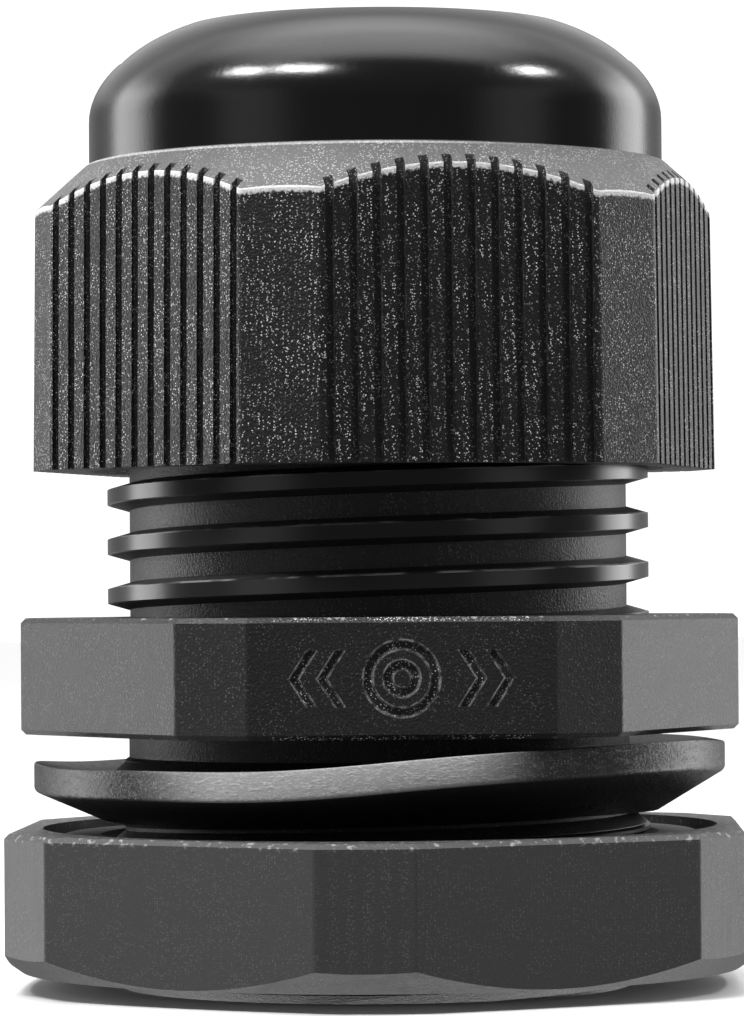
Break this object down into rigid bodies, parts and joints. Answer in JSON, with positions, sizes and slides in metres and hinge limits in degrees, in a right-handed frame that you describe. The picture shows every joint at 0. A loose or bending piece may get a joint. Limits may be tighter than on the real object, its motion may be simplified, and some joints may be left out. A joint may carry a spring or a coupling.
{
  "type": "cable gland",
  "caption": "Nylon cable gland with ribbed dome nut, hexagonal flanged body, rubber seal and gasket, and hexagonal locknut on a panel thread.",
  "frame": {"origin": "centre of the gland body's lower end, on the common axis", "axes": "+Z along the cable, from the panel side to the dome nut; -Y out of the flange's marked flat"},
  "size_m": [0.0312, 0.0326, 0.0398],
  "materials": {
    "body_nylon": "spark-textured black nylon with smooth thread crests",
    "claw_nylon": "smooth black nylon",
    "seal_rubber": "soft black rubber",
    "dome_nylon": "black nylon, glossy dome over spark-textured ribbed sides",
    "gasket_rubber": "grey rubber with a dry satin skin",
    "locknut_nylon": "fine matt dark grey nylon"
  },
  "bodies": {
    "gland_body": {"gland_body": "body_nylon", "clamping_claw": "claw_nylon"},
    "seal": {"sealing_insert": "seal_rubber"},
    "dome_nut": {"dome_nut": "dome_nylon"},
    "gasket": {"gasket": "gasket_rubber"},
    "locknut": {"locknut": "locknut_nylon"}
  },
  "joints": [
    {"name": "seal_slide", "type": "slide", "parent": "gland_body", "child": "seal", "axis": [0, 0, 1], "range_m": [-0.00205, 0.0205]},
    {"name": "dome_nut_spin", "type": "hinge", "parent": "seal", "child": "dome_nut", "pos_m": [0, 0, 0.03], "axis": [0, 0, 1], "range_deg": [-360, 3600]},
    {"name": "gasket_slide", "type": "slide", "parent": "gland_body", "child": "gasket", "axis": [0, 0, 1], "range_m": [-0.00247, 0.00247], "deforming": ["gasket"]},
    {"name": "locknut_spin", "type": "hinge", "parent": "gasket", "child": "locknut", "pos_m": [0, 0, 0.0035], "axis": [0, 0, 1], "range_deg": [-630, 630]}
  ],
  "couplings": [
    {"joint": "seal_slide", "follows": "dome_nut_spin", "m_per_rad": 0.00032627},
    {"joint": "gasket_slide", "follows": "locknut_spin", "m_per_rad": 0.00022459}
  ]
}
